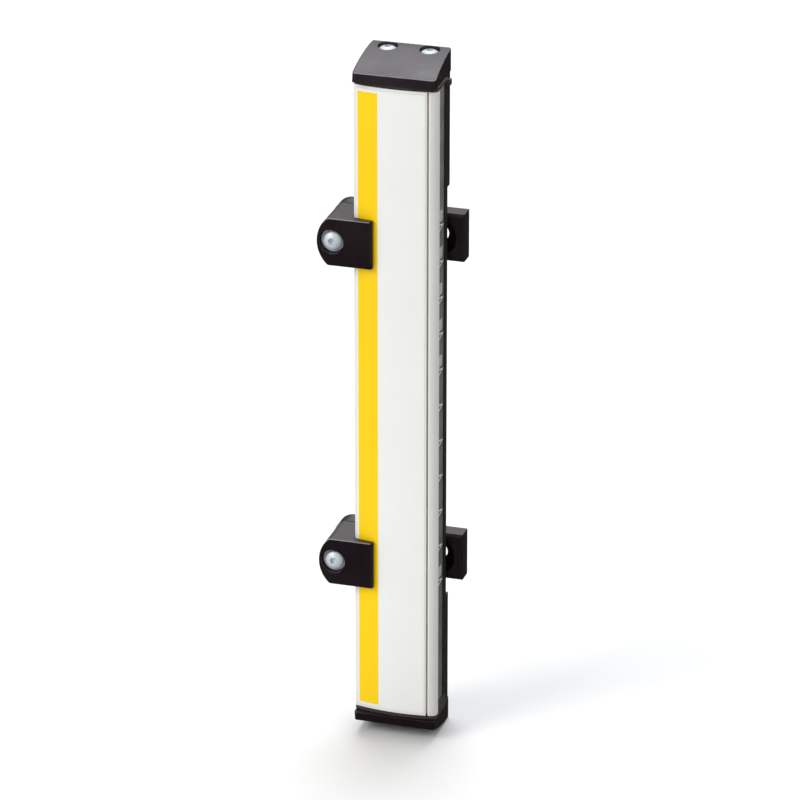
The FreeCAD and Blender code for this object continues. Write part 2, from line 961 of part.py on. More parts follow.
nose_x = D["conn_w"] / 2 - 0.1
nose_z = D["conn_h"] / 2 - 0.1
floor_y = D["board_y"] + 0.6
socket = cut(
    "Socket",
    fuse(
        "SocketBlank",
        box(
            "SocketFlange",
            (-nose_x - 1.1, nose_x + 1.1),
            (D["board_y"], back_in - 0.1),
            (D["conn_z"] - nose_z - 1.6, D["conn_z"] + nose_z + 1.6),
        ),
        box(
            "SocketNose",
            (-nose_x, nose_x),
            (D["board_y"], back - 0.1),
            (D["conn_z"] - nose_z, D["conn_z"] + nose_z),
        ),
    ),
    box(
        "SocketHollow",
        (-nose_x + 0.9, nose_x - 0.9),
        (floor_y, back + 1),
        (D["conn_z"] - nose_z + 1.0, D["conn_z"] + nose_z - 1.0),
    ),
)
keep("connector_socket", socket)

pins = int(D["pin_count"].value)
contact_z = D["conn_z"] - nose_z + 1.0
keep(
    "connector_contacts",
    group(
        "Contacts",
        [
            box(
                f"Contact{number}",
                (
                    (number - (D["pin_count"] - 1) / 2) * D["pin_pitch"] - 0.25,
                    (number - (D["pin_count"] - 1) / 2) * D["pin_pitch"] + 0.25,
                ),
                (floor_y, floor_y + 2.6),
                (contact_z, contact_z + 0.25),
            )
            for number in range(pins)
        ],
    ),
)

# ---------------------------------------------------------------- screws, washers and inserts


def screw(name, seat, direction, reach):
    """A domed head with a hex socket on a seat, and its shank the other way."""
    x, y, z = (dim(v) for v in seat)
    sign = 1 if direction[0] == "+" else -1
    axis = direction[1]
    away = {"+": "-", "-": "+"}[direction[0]] + axis

    def along(distance):
        shift = sign * dim(distance)
        return {
            "X": (x + shift, y, z),
            "Y": (x, y + shift, z),
            "Z": (x, y, z + shift),
        }[axis]

    dome = common(
        name + "Dome",
        rod(name + "HeadRod", seat, direction, D["head_r"], D["head_h"]),
        ball(name + "HeadBall", along(D["head_h"] - D["dome_r"]), D["dome_r"]),
    )
    shank = rod(name + "Shank", seat, away, D["shank_r"], reach)
    key = doc.addObject("Part::Prism", name + "Key")
    key.Polygon = 6
    across = D["key_af"] / math.sqrt(3)
    key.Circumradius, key.Height = across.value, dim(D["key_deep"] + 1).value
    bind(key, "Circumradius", across)
    bind(key, "Height", D["key_deep"] + 1)
    place(key, *along(D["head_h"] - D["key_deep"]), TURNS[direction])
    return cut(name, fuse(name + "Blank", dome, shank), key)


def nut(name, centre, axis, bore_length):
    """A square nut with its bore along an axis, named by its letter."""
    x, y, z = (dim(v) for v in centre)
    s, m = D["nut_s"] / 2, D["nut_m"] / 2
    spans = {
        "Y": ((x - s, x + s), (y - m, y + m), (z - s, z + s)),
        "Z": ((x - s, x + s), (y - s, y + s), (z - m, z + m)),
    }[axis]
    start = {"Y": (x, y - bore_length / 2, z), "Z": (x, y, z - bore_length / 2)}[axis]
    return cut(
        name,
        box(name + "Block", *spans),
        rod(name + "Bore", start, "+" + axis, D["shank_r"] + 0.05, bore_length),
    )


end_screws, jaw_screws, washers, nuts = [], [], [], []

# ---------------------------------------------------------------- end brackets


def at_end(upper, distance):
    """Z at a distance from the stick's end, positive outwards."""
    return length + distance if upper else -dim(distance)


for tag in ("Upper", "Lower"):
    upper = tag == "Upper"
    sign = 1 if upper else -1
    far = at_end(upper, -D["plate_h"])
    end = at_end(upper, 0.0)
    word = tag.lower()

    # plate behind the stick: two counterbored fixing slots and two nut slits, all through
    body = new_body(tag + "PlateBody")
    sketch = new_sketch(body, tag + "PlateOutline", "XZ")
    low, high = (far, end) if upper else (end, far)
    rectangle(sketch, (-D["plate_w"] / 2, D["plate_w"] / 2), (low, high))
    pad(body, tag + "PlatePad", sketch, D["plate_t"])
    dress(
        body,
        tag + "PlateBevel",
        "Chamfer",
        lambda p, d, e: near(p.y, back) and not near(p.z, end),
        D["plate_edge"],
        3,
    )
    dress(
        body,
        tag + "PlateBackEdge",
        "Chamfer",
        lambda p, d, e: near(p.y, 0) and not near(p.z, end),
        0.4,
        3,
    )
    for number in range(2):
        letter = "AB"[number]
        z = at_end(upper, -(D["hole_first"] + number * D["hole_pitch"]))
        sketch = new_sketch(body, f"{tag}Slot{letter}", "XZ", D["plate_t"] + 1)
        obround(sketch, 0.0, z, D["hole_len"], D["hole_wid"])
        pocket(body, f"{tag}SlotCut{letter}", sketch, D["plate_t"] + 2)
        sketch = new_sketch(body, f"{tag}Sink{letter}", "XZ", D["plate_t"] + 1)
        obround(sketch, 0.0, z, D["sink_len"], D["sink_wid"])
        pocket(body, f"{tag}SinkCut{letter}", sketch, D["sink_deep"] + 1)
    for side, word_x in ((-1, "Left"), (1, "Right")):
        x = side * D["head_hole_x"]
        z = at_end(upper, -D["nut_z"])
        reach_x = D["nut_s"] / 2 + D["nut_play"] / 2
        reach_z = D["nut_m"] / 2 + D["nut_play"] / 2
        sketch = new_sketch(body, f"{tag}NutPocket{word_x}", "XZ", D["plate_t"] + 1)
        rectangle(sketch, (x - reach_x, x + reach_x), (z - reach_z, z + reach_z))
        pocket(body, f"{tag}NutCut{word_x}", sketch, D["plate_t"] + 2)
        sketch = new_sketch(body, f"{tag}Bore{word_x}", "XY", at_end(upper, 1.0))
        circle(sketch, x, D["head_hole_y"], D["clear_r"])
        pocket(body, f"{tag}BoreCut{word_x}", sketch, 9.5, not upper)
        nuts.append(nut(f"{tag}Nut{word_x}", (x, D["head_hole_y"], z), "Z", 4.0))
    keep(f"{word}_bracket_plate", body)

    # head over the upper end, foot under the lower one: thick at the back, thin at the front
    body = new_body(tag + "HeadBody")
    sketch = new_sketch(body, tag + "HeadSide", "YZ", -D["head_w"] / 2 - 0.5)
    points = [
        (-D["head_d"], end),
        (0.0, end),
        (0.0, at_end(upper, D["head_back"])),
        (0.6 - D["head_d"], at_end(upper, D["head_front"])),
    ]
    outline(sketch, points, {2: (D["head_arc"], sign)})
    pad(body, tag + "HeadPad", sketch, D["head_w"] + 1)
    # both sides draw in from the front's width to the width at the mounting plane
    for side, word_x in ((-1, "Left"), (1, "Right")):
        sketch = new_sketch(body, f"{tag}HeadTaper{word_x}", "XY", at_end(upper, 12.0))
        corners = [
            (side * (D["head_w_back"] / 2), 0.0),
            (side * (D["head_w"] / 2), -D["head_d"]),
            (side * (D["head_w"] / 2), -D["head_d"] - 1),
            (side * (D["head_w"] / 2 + 2), -D["head_d"] - 1),
            (side * (D["head_w"] / 2 + 2), 1.0),
            (side * (D["head_w_back"] / 2), 1.0),
        ]
        outline(sketch, corners if side < 0 else corners[::-1])
        pocket(body, f"{tag}HeadTaperCut{word_x}", sketch, 13.0, not upper)
    dress(
        body,
        tag + "HeadFrontCorners",
        "Fillet",
        lambda p, d, e: p.y < -20 and abs(d.x) < 0.1 and e.Length < 5,
        1.4,
        2,
    )
    dress(
        body,
        tag + "HeadRearCorners",
        "Fillet",
        lambda p, d, e: near(p.y, 0) and upright(d),
        1.0,
        2,
    )
    dress(
        body,
        tag + "HeadRim",
        "Fillet",
        lambda p, d, e: abs(p.z - end.value) > 2.6
        and not upright(d)
        and not near(p.y, 0),
        0.5,
    )
    sketch = new_sketch(body, tag + "TongueOutline", "XY", at_end(upper, -D["tongue_h"]))
    rectangle(
        sketch,
        (-D["tongue_len"] / 2, D["tongue_len"] / 2),
        (D["slot_y"] - D["tongue_wid"] / 2, D["slot_y"] + D["tongue_wid"] / 2),
    )
    pad(body, tag + "Tongue", sketch, D["tongue_h"] + 1, not upper)
    for side, word_x in ((-1, "Left"), (1, "Right")):
        x = side * D["head_hole_x"]
        sketch = new_sketch(body, f"{tag}HeadBore{word_x}", "XY", at_end(upper, 12.0))
        circle(sketch, x, D["head_hole_y"], D["clear_r"])
        pocket(body, f"{tag}HeadBoreCut{word_x}", sketch, 13.0, not upper)
    for side, word_x in ((-1, "Left"), (1, "Right")):
        x = side * D["head_hole_x"]
        sketch = new_sketch(body, f"{tag}HeadSink{word_x}", "XY", at_end(upper, 12.0))
        circle(sketch, x, D["head_hole_y"], D["head_sink_r"])
        pocket(body, f"{tag}HeadSinkCut{word_x}", sketch, 12.0 - D["head_sink"], not upper)
        end_screws.append(
            screw(
                f"{tag}Screw{word_x}",
                (x, D["head_hole_y"], at_end(upper, D["head_sink"])),
                "+Z" if upper else "-Z",
                D["end_screw_len"],
            )
        )
    keep("upper_bracket_head" if upper else "lower_bracket_foot", body)

# ---------------------------------------------------------------- side clamp brackets

lip_r = D["face_r"] + D["jaw_gap"]
for tag, middle in (("High", D["side_high_z"]), ("Low", D["side_low_z"])):
    name = "side_bracket_upper" if tag == "High" else "side_bracket_lower"
    low, high = middle - D["side_h"] / 2, middle + D["side_h"] / 2

    body = new_body(tag + "SidePlateBody")
    sketch = new_sketch(body, tag + "SidePlateOutline", "XZ")
    rectangle(sketch, (D["side_left"], D["side_right"]), (low, high))
    pad(body, tag + "SidePlatePad", sketch, D["plate_t"])
    dress(
        body,
        tag + "SidePlateRound",
        "Fillet",
        lambda p, d, e: near(p.x, D["side_left"]) and abs(d.y) > 0.999,
        6.0,
        2,
    )
    dress(
        body,
        tag + "SidePlateBevel",
        "Chamfer",
        lambda p, d, e: near(p.y, back) and p.x > -20,
        D["plate_edge"],
        3,
    )
    dress(
        body,
        tag + "SidePlateBackEdge",
        "Chamfer",
        lambda p, d, e: near(p.y, 0) and p.x > -20,
        0.4,
        3,
    )
    sketch = new_sketch(body, tag + "SideSlot", "XZ", D["plate_t"] + 1)
    obround(sketch, D["side_hole_x"], middle, D["hole_len"], D["hole_wid"])
    pocket(body, tag + "SideSlotCut", sketch, D["plate_t"] + 2)
    sketch = new_sketch(body, tag + "SideSink", "XZ", D["plate_t"] + 1)
    obround(sketch, D["side_hole_x"], middle, D["side_sink_len"], D["side_sink_wid"])
    pocket(body, tag + "SideSinkCut", sketch, D["sink_deep"] + 1)
    sketch = new_sketch(body, tag + "SideBore", "XZ", D["plate_t"] + 1)
    circle(sketch, D["jaw_hole_x"], middle, D["clear_r"])
    pocket(body, tag + "SideBoreCut", sketch, D["plate_t"] + 2)
    sketch = new_sketch(body, tag + "SideNutPocket", "XZ", D["nut_m"] + 0.5)
    reach = D["nut_s"] / 2 + D["nut_play"] / 2
    rectangle(
        sketch,
        (D["jaw_hole_x"] - reach, D["jaw_hole_x"] + reach),
        (middle - reach, middle + reach),
    )
    pocket(body, tag + "SideNutCut", sketch, D["nut_m"] + 1.5)
    nuts.append(
        nut(tag + "SideNut", (D["jaw_hole_x"], -(D["nut_m"] / 2 + 0.45), middle), "Y", 4.0)
    )
    keep(name + "_plate", body)

    # jaw: stands on the plate beside the stick, its lip reaches over the face
    body = new_body(tag + "JawBody")
    sketch = new_sketch(body, tag + "JawSection", "XY", low)
    outline(
        sketch,
        [
            (D["jaw_left"] - 0.6, back),
            (D["jaw_left"] - 0.6, D["jaw_front"]),
            (D["jaw_tip"] - 0.9, D["jaw_front"]),
            (D["jaw_tip"], D["jaw_front"] + 1.1),
            (D["jaw_tip"], face_y(D["jaw_tip"], lip_r)),
            (D["jaw_wall"], face_y(D["jaw_wall"], lip_r)),
            (D["jaw_wall"], back),
        ],
        {4: (lip_r, -1)},
    )
    pad(body, tag + "JawPad", sketch, D["side_h"])
    half, bow_x = D["side_h"] / 2, D["jaw_left"] + D["jaw_bow"]
    bow_r = (half * half + D["jaw_bow"] * D["jaw_bow"]) / (D["jaw_bow"] * 2)
    sketch = new_sketch(body, tag + "JawBow", "XZ", 26.0)
    outline(
        sketch,
        [
            (D["jaw_left"] - 2, low - 1),
            (bow_x, low - 1),
            (bow_x, low),
            (bow_x, high),
            (bow_x, high + 1),
            (D["jaw_left"] - 2, high + 1),
        ],
        {2: (bow_r, -1)},
    )
    pocket(body, tag + "JawBowCut", sketch, 20.0)
    dress(
        body,
        tag + "JawRound",
        "Fillet",
        lambda p, d, e: near(p.x, bow_x) and abs(d.y) > 0.999,
        D["jaw_round"],
        2,
    )
    dress(
        body,
        tag + "JawRim",
        "Fillet",
        lambda p, d, e: near(p.y, D["jaw_front"]) and not upright(d),
        0.5,
    )
    sketch = new_sketch(body, tag + "JawBore", "XZ", 26.0)
    circle(sketch, D["jaw_hole_x"], middle, D["clear_r"])
    pocket(body, tag + "JawBoreCut", sketch, 20.0)
    sketch = new_sketch(body, tag + "JawSink", "XZ", 26.0)
    circle(sketch, D["jaw_hole_x"], middle, D["jaw_sink_r"])
    pocket(body, tag + "JawSinkCut", sketch, 26.0 + D["jaw_front"] + D["jaw_sink_deep"])
    keep(name + "_jaw", body)

    seat_y = D["jaw_front"] + D["jaw_sink_deep"]
    washers.append(
        cut(
            tag + "Washer",
            rod(
                tag + "WasherOuter",
                (D["jaw_hole_x"], seat_y, middle),
                "-Y",
                D["washer_r"],
                D["washer_t"],
            ),
            rod(
                tag + "WasherHole",
                (D["jaw_hole_x"], seat_y + 1, middle),
                "-Y",
                D["clear_r"],
                D["washer_t"] + 2,
            ),
        )
    )
    jaw_screws.append(
        screw(
            tag + "JawScrew",
            (D["jaw_hole_x"], seat_y - D["washer_t"], middle),
            "-Y",
            D["jaw_screw_len"],
        )
    )

keep("bracket_end_screws", group("EndScrews", end_screws))
keep("jaw_clamp_screws", group("JawScrews", jaw_screws))
keep("jaw_clamp_washers", group("JawWashers", washers))
keep("square_nuts", group("Nuts", nuts))

# ---------------------------------------------------------------- check and write

doc.recompute()
problems = []
for obj in doc.Objects:
    if "Invalid" in obj.State or "Error" in obj.State:
        problems.append(f"{obj.Name} is {obj.State}")
for name, obj in nodes.items():
    shape = obj.Shape
    if shape.isNull() or not shape.isValid() or not shape.Solids:
        problems.append(f"{name} has no valid solid")
if problems:
    raise RuntimeError("; ".join(problems))

os.makedirs("parts", exist_ok=True)
for name, obj in nodes.items():
    obj.Shape.exportStep(f"parts/{name}.step")
    b = obj.Shape.BoundBox
    print(
        f"{name}: {len(obj.Shape.Solids)} solid(s), {obj.Shape.Volume:.1f} mm3, "
        f"X {b.XMin:.2f}..{b.XMax:.2f} Y {b.YMin:.2f}..{b.YMax:.2f} Z {b.ZMin:.2f}..{b.ZMax:.2f}"
    )
print(f"{len(nodes)} nodes")
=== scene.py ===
import json
import math

import bpy
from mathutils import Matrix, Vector


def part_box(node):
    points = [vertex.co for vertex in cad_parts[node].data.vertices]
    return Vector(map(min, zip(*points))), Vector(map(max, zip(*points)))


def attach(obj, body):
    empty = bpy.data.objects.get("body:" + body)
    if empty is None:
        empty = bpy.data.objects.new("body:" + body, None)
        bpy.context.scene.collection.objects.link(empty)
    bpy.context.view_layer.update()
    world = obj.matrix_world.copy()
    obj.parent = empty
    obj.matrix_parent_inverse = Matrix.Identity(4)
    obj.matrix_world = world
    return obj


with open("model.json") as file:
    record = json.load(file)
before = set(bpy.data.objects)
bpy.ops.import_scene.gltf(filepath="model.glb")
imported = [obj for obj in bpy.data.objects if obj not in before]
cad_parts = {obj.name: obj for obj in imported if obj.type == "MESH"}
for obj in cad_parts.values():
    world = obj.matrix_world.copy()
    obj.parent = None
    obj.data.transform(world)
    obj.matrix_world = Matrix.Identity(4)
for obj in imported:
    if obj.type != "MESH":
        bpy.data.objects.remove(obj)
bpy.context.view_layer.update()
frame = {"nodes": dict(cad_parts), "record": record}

MM = 0.001
record = frame["record"]
nodes = frame["nodes"]


# ---------------------------------------------------------------- node helpers
class Net:
    """A material's node tree with one principled shader, wired a few words at a time."""

    def __init__(self, name, **sockets):
        self.mat = bpy.data.materials.new(name)
        self.mat.use_nodes = True
        self.tree = self.mat.node_tree
        self.tree.nodes.clear()
        self.out = self.tree.nodes.new("ShaderNodeOutputMaterial")
        self.shader = self.tree.nodes.new("ShaderNodeBsdfPrincipled")
        self.tree.links.new(self.shader.outputs["BSDF"], self.out.inputs["Surface"])
        for key, value in sockets.items():
            self.set(key.replace("_", " ").title().replace("Ior", "IOR"), value)
        self._coords = None

    def set(self, name, value):
        socket = self.shader.inputs[name]
        if isinstance(value, tuple) and len(value) == 3 and socket.type == "RGBA":
            value = (*value, 1.0)
        socket.default_value = value

    def new(self, kind, **props):
        node = self.tree.nodes.new(kind)
        for key, value in props.items():
            setattr(node, key, value)
        return node

    def feed(self, socket, value):
        if isinstance(value, bpy.types.NodeSocket):
            self.tree.links.new(value, socket)
        elif isinstance(value, tuple) and socket.type == "RGBA" and len(value) == 3:
            socket.default_value = (*value, 1.0)
        else:
            socket.default_value = value

    def link(self, name, value):
        self.tree.links.new(value, self.shader.inputs[name])

    def mm(self, stretch=(1.0, 1.0, 1.0)):
        """The place on the part in millimetres, squeezed or stretched along an axis."""
        if self._coords is None:
            self._coords = self.new("ShaderNodeTexCoord").outputs["Object"]
        mapping = self.new("ShaderNodeMapping")
        mapping.inputs["Scale"].default_value = tuple(1000.0 * s for s in stretch)
        self.tree.links.new(self._coords, mapping.inputs["Vector"])
        return mapping.outputs["Vector"]

    def axis(self, letter):
        split = self.new("ShaderNodeSeparateXYZ")
        self.tree.links.new(self.mm(), split.inputs[0])
        return split.outputs[letter]

    def noise(self, scale, detail=3.0, rough=0.55, stretch=(1.0, 1.0, 1.0), lacunarity=2.0):
        node = self.new("ShaderNodeTexNoise")
        node.inputs["Scale"].default_value = scale
        node.inputs["Detail"].default_value = detail
        node.inputs["Roughness"].default_value = rough
        node.inputs["Lacunarity"].default_value = lacunarity
        self.tree.links.new(self.mm(stretch), node.inputs["Vector"])
        return node.outputs[0]

    def cells(self, scale, feature="F1", stretch=(1.0, 1.0, 1.0), colour=False):
        node = self.new("ShaderNodeTexVoronoi", feature=feature)
        node.inputs["Scale"].default_value = scale
        self.tree.links.new(self.mm(stretch), node.inputs["Vector"])
        return node.outputs["Color" if colour else "Distance"]

    def math(self, op, a, b=None, c=None, clamp=False):
        node = self.new("ShaderNodeMath", operation=op, use_clamp=clamp)
        self.feed(node.inputs[0], a)
        if b is not None:
            self.feed(node.inputs[1], b)
        if c is not None:
            self.feed(node.inputs[2], c)
        return node.outputs[0]

    def span(self, value, lo, hi, to_lo=0.0, to_hi=1.0, smooth=False):
        node = self.new("ShaderNodeMapRange", clamp=True)
        if smooth:
            node.interpolation_type = "SMOOTHSTEP"
        self.feed(node.inputs["Value"], value)
        for key, number in (
            ("From Min", lo),
            ("From Max", hi),
            ("To Min", to_lo),
            ("To Max", to_hi),
        ):
            node.inputs[key].default_value = number
        return node.outputs["Result"]

    def mix(self, factor, a, b, blend="MIX"):
        node = self.new("ShaderNodeMix", data_type="RGBA", blend_type=blend)
        self.feed(node.inputs[0], factor)
        self.feed(node.inputs[6], a)
        self.feed(node.inputs[7], b)
        return node.outputs[2]

    def blend(self, factor, a, b):
        node = self.new("ShaderNodeMix", data_type="FLOAT")
        self.feed(node.inputs[0], factor)
        self.feed(node.inputs[2], a)
        self.feed(node.inputs[3], b)
        return node.outputs[0]

    def bump(self, height, depth_mm, normal=None, strength=1.0):
        node = self.new("ShaderNodeBump")
        node.inputs["Strength"].default_value = strength
        node.inputs["Distance"].default_value = depth_mm * MM
        self.feed(node.inputs["Height"], height)
        if normal is not None:
            self.tree.links.new(normal, node.inputs["Normal"])
        return node.outputs["Normal"]

    def soft_edges(self, radius_mm, samples=6):
        """Rounds the edges that a mould or a die leaves; returns (normal, mask of the edges)."""
        bevel = self.new("ShaderNodeBevel", samples=samples)
        bevel.inputs["Radius"].default_value = radius_mm * MM
        geometry = self.new("ShaderNodeNewGeometry")
        dot = self.new("ShaderNodeVectorMath", operation="DOT_PRODUCT")
        self.tree.links.new(bevel.outputs["Normal"], dot.inputs[0])
        self.tree.links.new(geometry.outputs["Normal"], dot.inputs[1])
        mask = self.span(dot.outputs["Value"], 0.999, 0.80, 0.0, 1.0, smooth=True)
        return bevel.outputs["Normal"], mask


# ---------------------------------------------------------------- materials
def moulded(name, colour, lift, rough, grain_mm, depth_mm, specular=0.35, edge_mm=0.14, edge_lift=1.8, painted_edge_highlight=None):
    """Moulded plastic: spark-eroded grain, faint flow clouds, edges lightened as wear and, where edge_lift is large,
    as a painted highlight; painted_edge_highlight paints upward-facing edges pale as a painted sheen.
    """
    net = Net(name, specular_ior_level=specular)
    edge_normal, edge = net.soft_edges(edge_mm)
    clouds = net.noise(0.07, 4.0, 0.6)
    flow = net.noise(0.45, 3.0, 0.5, stretch=(1.0, 1.0, 0.35))
    grain = net.noise(1.0 / grain_mm, 2.5, 0.65)
    pits = net.cells(0.8 / grain_mm)
    body = net.mix(net.span(clouds, 0.32, 0.70), colour, lift)
    body = net.mix(net.span(flow, 0.40, 0.72, 0.0, 0.35), body, tuple(c * 0.72 for c in colour))
    speck = net.span(pits, 0.0, 0.16, 0.10, 0.0)
    body = net.mix(speck, body, tuple(min(1.0, c * 2.2) for c in lift))
    edge_wear_and_sheen = net.math("MULTIPLY", edge, net.span(net.noise(0.9, 3.0, 0.6), 0.40, 0.62, 0.25, 1.0))
    # painted highlight and wear: every edge is lightened by edge_lift, which on the brackets stands in for edge
    # highlights
    body = net.mix(net.math("MULTIPLY", edge_wear_and_sheen, 0.7), body, tuple(min(1.0, c * edge_lift) for c in lift))
    if painted_edge_highlight:
        # painted highlight: rounded edges that face up are painted pale, standing in for the sheen they catch from the
        # light overhead
        shape = net.new("ShaderNodeNewGeometry")
        split = net.new("ShaderNodeSeparateXYZ")
        net.tree.links.new(shape.outputs["Normal"], split.inputs[0])
        rise = split.outputs["Z"]
        upward_sheen_mask = net.math("MULTIPLY", net.span(rise, 0.22, 0.48, smooth=True), net.span(rise, 0.80, 0.905, 1.0, 0.0, smooth=True))
        upward_sheen_mask = net.math("MULTIPLY", upward_sheen_mask, net.span(net.noise(0.25, 3.0, 0.6), 0.30, 0.60, 0.55, 0.95))
        # the painted highlight is kept to the head's rim and the jaws' upper edges; slots and bores stay dark
        z = net.axis("Z")
        jaws = net.span(net.axis("Y"), -7.7, -7.5, 1.0, 0.0)
        high = net.math("MULTIPLY", net.span(z, 196.6, 197.0), net.span(z, 200.0, 201.0, 1.0, 0.0))
        low = net.math("MULTIPLY", net.span(z, 68.6, 69.0), net.span(z, 72.0, 73.0, 1.0, 0.0))
        jaws = net.math("MULTIPLY", jaws, net.math("ADD", high, low))
        reach = net.math("ADD", jaws, net.span(z, 251.3, 251.6), clamp=True)
        body = net.mix(net.math("MULTIPLY", upward_sheen_mask, reach), body, painted_edge_highlight)
    net.link("Base Color", body)
    gloss = net.math("ADD", net.span(clouds, 0.3, 0.7, rough - 0.05, rough + 0.06), net.span(grain, 0.3, 0.7, -0.05, 0.05))
    gloss = net.math("SUBTRACT", gloss, net.math("MULTIPLY", edge_wear_and_sheen, 0.10), clamp=True)
    net.link("Roughness", gloss)
    relief = net.math("ADD", net.math("MULTIPLY", grain, 0.75), net.math("MULTIPLY", pits, 0.35))
    net.link("Normal", net.bump(relief, depth_mm, edge_normal))
    return net.mat


def coated(name, colour, shade, rough, peel_mm=0.9, depth_mm=0.006, streak=0.25, specular=0.5, edge_mm=0.10, painted_highlight_line=None):
    """Coated extrusion: orange peel over faint die lines that run the length of the stick."""
    net = Net(name, specular_ior_level=specular)
    edge_normal, edge = net.soft_edges(edge_mm)
    lines = net.noise(2.4, 3.0, 0.6, stretch=(1.0, 1.0, 0.004))
    peel = net.noise(1.0 / peel_mm, 2.0, 0.5)
    smudge = net.noise(0.035, 4.0, 0.55, stretch=(1.0, 1.0, 0.45))
    body = net.mix(net.span(smudge, 0.35, 0.72), colour, shade)
    body = net.mix(net.span(lines, 0.45, 0.75, 0.0, streak), body, tuple(c * 0.93 for c in shade))
    rubbed = net.math("MULTIPLY", edge, net.span(net.noise(1.3, 3.0, 0.6), 0.45, 0.65))
    body = net.mix(net.math("MULTIPLY", rubbed, 0.30), body, tuple(min(1.0, c * 1.06) for c in colour))
    if painted_highlight_line:
        # painted highlight: a pale band along one long edge stands in for light caught by the rim's rounded corner
        start, stop, highlight_tone = painted_highlight_line
        reach = net.math("ADD", net.axis("X"), net.span(net.noise(0.5, 3.0, 0.6, stretch=(1.0, 1.0, 0.2)), 0.3, 0.7, -0.05, 0.05))
        body = net.mix(net.span(reach, start, stop, 0.9, 0.0, smooth=True), body, highlight_tone)
    net.link("Base Color", body)
    net.link("Roughness", net.math("ADD", net.span(smudge, 0.3, 0.7, rough - 0.04, rough + 0.05), net.span(lines, 0.3, 0.7, -0.03, 0.03)))
    relief = net.math("ADD", net.math("MULTIPLY", peel, 0.6), net.math("MULTIPLY", lines, 0.5))
    net.link("Normal", net.bump(relief, depth_mm, edge_normal))
    return net.mat


def film_material():
    """White polyester film with a printed yellow band down its left side."""
    net = Net("label_film_print", specular_ior_level=0.25)
    x, z = net.axis("X"), net.axis("Z")
    wander = net.span(net.noise(0.9, 3.0, 0.6), 0.3, 0.7, -0.03, 0.03)
    x_edge = net.math("ADD", x, wander)
    z_edge = net.math("ADD", z, wander)
    band = net.math(
        "MULTIPLY",
        net.span(x_edge, BAND_LEFT - 0.05, BAND_LEFT + 0.05),
        net.span(x_edge, BAND_RIGHT - 0.05, BAND_RIGHT + 0.05, 1.0, 0.0),
    )
    ends = net.math(
        "MULTIPLY",
        net.span(z_edge, BAND_LOW - 0.05, BAND_LOW + 0.05),
        net.span(z_edge, BAND_HIGH - 0.05, BAND_HIGH + 0.05, 1.0, 0.0),
    )
    band = net.math("MULTIPLY", band, ends)
    clouds = net.noise(0.03, 4.0, 0.55)
    tooth = net.noise(3.2, 2.0, 0.6)
    fine = net.noise(9.0, 2.0, 0.5)
    white = net.mix(net.span(clouds, 0.35, 0.7), (0.800, 0.802, 0.772), (0.775, 0.780, 0.752))
    white = net.mix(net.span(tooth, 0.35, 0.75, 0.0, 0.5), white, (0.770, 0.772, 0.745))
    ink = net.mix(net.span(clouds, 0.35, 0.7), (0.930, 0.612, 0.002), (0.905, 0.582, 0.001))
    ink = net.mix(net.span(fine, 0.52, 0.72, 0.0, 0.30), ink, (0.960, 0.660, 0.006))
    ink = net.mix(net.span(tooth, 0.55, 0.80, 0.0, 0.35), ink, (0.850, 0.535, 0.001))
    net.link("Base Color", net.mix(band, white, ink))
    gloss = net.math("ADD", net.span(clouds, 0.3, 0.7, 0.34, 0.42), net.span(tooth, 0.3, 0.7, -0.03, 0.04))
    net.link("Roughness", net.math("SUBTRACT", gloss, net.math("MULTIPLY", band, 0.05)))
    relief = net.math("ADD", net.math("MULTIPLY", tooth, 0.4), net.math("MULTIPLY", fine, 0.25))
    relief = net.math("ADD", relief, net.math("MULTIPLY", band, 0.9))
    relief = net.math("ADD", relief, net.math("MULTIPLY", net.noise(0.16, 2.0, 0.5, stretch=(1.0, 1.0, 0.25)), 2.0))
    net.link("Normal", net.bump(relief, 0.008))
    return net.mat


def window_material():
    """Dark olive filter acrylic that only infrared light passes: glossy, with drawn lines and fine scuffs."""
    net = Net("window_filter_acrylic", specular_ior_level=0.5)
    deep = net.noise(0.05, 3.0, 0.5, stretch=(1.0, 1.0, 0.3))
    drawn = net.noise(1.6, 3.0, 0.6, stretch=(1.0, 1.0, 0.01))
    body = net.mix(net.span(deep, 0.35, 0.7), (0.150, 0.147, 0.130), (0.125, 0.122, 0.107))
    # painted light: the window is painted lighter towards its top, standing in for light from above
    body = net.mix(net.span(net.axis("Z"), 40.0, 215.0, 0.0, 0.7), body, (0.205, 0.201, 0.178))
    body = net.mix(net.span(drawn, 0.45, 0.75, 0.0, 0.4), body, (0.098, 0.096, 0.084))
    beams = net.math("PINGPONG", net.math("SUBTRACT", net.axis("Z"), BEAM_FIRST), BEAM_PITCH / 2)
    behind = net.span(beams, 2.2, 5.2, 0.22, 0.0, smooth=True)
    body = net.mix(behind, body, (0.060, 0.058, 0.052))
    net.link("Base Color", body)
    scuff = net.noise(1.2, 5.0, 0.75, stretch=(0.3, 1.0, 3.0))
    net.link("Roughness", net.math("ADD", net.span(scuff, 0.50, 0.75, 0.14, 0.30), net.span(drawn, 0.3, 0.7, -0.02, 0.03)))
    relief = net.math("ADD", net.math("MULTIPLY", drawn, 0.6), net.math("MULTIPLY", deep, 0.8))
    net.link("Normal", net.bump(relief, 0.010))
    return net.mat


def rubber_material():
    net = Net("black_rubber", specular_ior_level=0.25)
    bloom = net.noise(0.5, 4.0, 0.6)
    grit = net.noise(4.0, 3.0, 0.7)
    net.link("Base Color", net.mix(net.span(bloom, 0.35, 0.75), (0.012, 0.011, 0.011), (0.030, 0.028, 0.028)))
    net.link("Roughness", net.span(grit, 0.3, 0.7, 0.68, 0.88))
    net.link("Normal", net.bump(grit, 0.02))
    return net.mat


